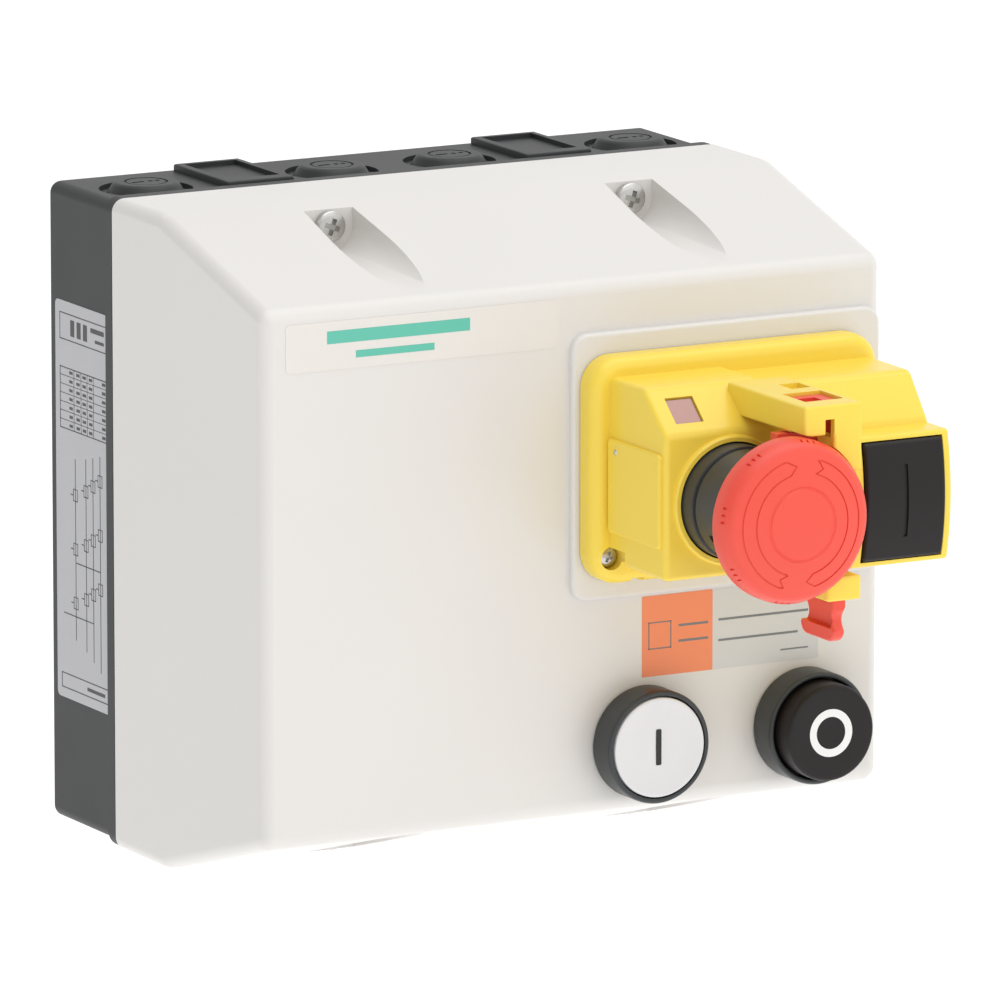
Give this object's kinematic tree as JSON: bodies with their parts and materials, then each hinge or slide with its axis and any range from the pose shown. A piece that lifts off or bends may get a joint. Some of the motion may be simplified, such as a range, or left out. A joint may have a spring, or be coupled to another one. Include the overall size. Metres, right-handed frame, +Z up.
{
  "type": "enclosed magnetic motor starter",
  "caption": "Wall-mounted boxed motor starter: sloped cover, yellow housing with emergency-stop mushroom, isolator button and padlock slide, start and stop buttons below.",
  "frame": {"origin": "middle of the flat back of the box, which goes against the wall", "axes": "+X to the right seen from the front, +Y into the wall, +Z up; the cover and its controls face -Y"},
  "size_m": [0.176, 0.1935, 0.1688],
  "materials": {
    "ivory_plastic": "moulded, satin, fine texture",
    "charcoal_plastic": "moulded, satin",
    "yellow_plastic": "moulded, semi-gloss",
    "red_plastic": "moulded, semi-gloss",
    "black_plastic": "moulded, fine texture",
    "bezel_grey": "moulded, satin",
    "white_plastic": "moulded, satin",
    "device_grey": "moulded",
    "lens_red": "tinted window",
    "seal_rubber": "soft",
    "rail_zinc": "zinc plated",
    "steel": "stainless",
    "brass": "turned",
    "coil_amber": "taped winding",
    "core_steel": "laminated",
    "link_insulation": "insulated copper"
  },
  "bodies": {
    "base": {"back_box": "charcoal_plastic", "cover_seal": "seal_rubber", "din_rail": "rail_zinc", "rail_screw_1": "steel", "rail_screw_2": "steel", "earth_bar": "brass", "earth_screw": "steel", "breaker_body": "device_grey", "breaker_line_screw_1": "rail_zinc", "breaker_line_screw_2": "rail_zinc", "breaker_line_screw_3": "rail_zinc", "breaker_load_screw_1": "rail_zinc", "breaker_load_screw_2": "rail_zinc", "breaker_load_screw_3": "rail_zinc", "contactor_base": "device_grey", "contactor_head": "black_plastic", "contactor_coil": "coil_amber", "contactor_core": "core_steel", "contactor_screw_1": "rail_zinc", "contactor_screw_2": "rail_zinc", "contactor_screw_3": "rail_zinc", "phase_link_1": "link_insulation", "phase_link_2": "link_insulation", "phase_link_3": "link_insulation"},
    "cover": {"cover": "ivory_plastic", "cover_screw_top_left": "steel", "cover_screw_top_right": "steel", "cover_screw_bottom_left": "steel", "cover_screw_bottom_right": "steel", "operator_housing": "yellow_plastic", "housing_screw_1": "steel", "housing_screw_2": "steel", "indicator_lens": "lens_red", "estop_collar": "bezel_grey", "estop_nut": "bezel_grey", "start_bezel": "bezel_grey", "start_nut": "bezel_grey", "start_contact_block": "device_grey", "stop_bezel": "bezel_grey", "stop_nut": "bezel_grey", "stop_contact_block": "device_grey"},
    "stop_stem": {"estop_stem": "red_plastic"},
    "mushroom": {"mushroom_head": "red_plastic"},
    "padlock_slide": {"padlock_slide": "red_plastic"},
    "isolator_button": {"isolator_button": "black_plastic", "isolator_pusher": "black_plastic"},
    "start_cap": {"start_cap": "white_plastic", "start_plunger": "white_plastic"},
    "stop_cap": {"stop_cap": "black_plastic", "stop_plunger": "white_plastic"},
    "breaker_stop": {"breaker_stop_button": "red_plastic"},
    "breaker_start": {"breaker_start_button": "black_plastic"},
    "breaker_dial": {"breaker_dial": "white_plastic"},
    "contact_carrier": {"contact_carrier": "white_plastic", "contactor_armature": "core_steel"}
  },
  "joints": [
    {"name": "cover_lift_off", "type": "slide", "parent": "base", "child": "cover", "axis": [0, -1, 0], "range_m": [0, 0.2]},
    {"name": "estop_push", "type": "slide", "parent": "cover", "child": "stop_stem", "axis": [0, 1, 0], "range_m": [0, 0.005]},
    {"name": "estop_twist", "type": "hinge", "parent": "stop_stem", "child": "mushroom", "pos_m": [0.0234, -0.189, 0.0172], "axis": [0, 1, 0], "range_deg": [0, 45], "stiffness_Nm_per_rad": 0.05},
    {"name": "padlock_slide_down", "type": "slide", "parent": "cover", "child": "padlock_slide", "axis": [0, 0, -1], "range_m": [0, 0.008]},
    {"name": "isolator_push", "type": "slide", "parent": "cover", "child": "isolator_button", "axis": [0, 1, 0], "range_m": [0, 0.005], "stiffness_N_per_m": 300, "springref_m": -0.001},
    {"name": "start_push", "type": "slide", "parent": "cover", "child": "start_cap", "axis": [0, 1, 0], "range_m": [0, 0.003], "stiffness_N_per_m": 300, "springref_m": -0.001},
    {"name": "stop_push", "type": "slide", "parent": "cover", "child": "stop_cap", "axis": [0, 1, 0], "range_m": [0, 0.003], "stiffness_N_per_m": 300, "springref_m": -0.001},
    {"name": "breaker_stop_push", "type": "slide", "parent": "base", "child": "breaker_stop", "axis": [0, 1, 0], "range_m": [0, 0.005]},
    {"name": "breaker_start_push", "type": "slide", "parent": "base", "child": "breaker_start", "axis": [0, 1, 0], "range_m": [0, 0.005]},
    {"name": "breaker_dial_turn", "type": "hinge", "parent": "base", "child": "breaker_dial", "pos_m": [0.0445, -0.0877, 0.0385], "axis": [0, 1, 0], "range_deg": [-135, 135]},
    {"name": "contactor_pull_in", "type": "slide", "parent": "base", "child": "contact_carrier", "axis": [0, 1, 0], "range_m": [0, 0.004], "stiffness_N_per_m": 400, "springref_m": -0.002}
  ],
  "couplings": [
    {"joint": "breaker_stop_push", "follows": "estop_push", "ratio": 1},
    {"joint": "breaker_start_push", "follows": "isolator_push", "ratio": 1}
  ]
}
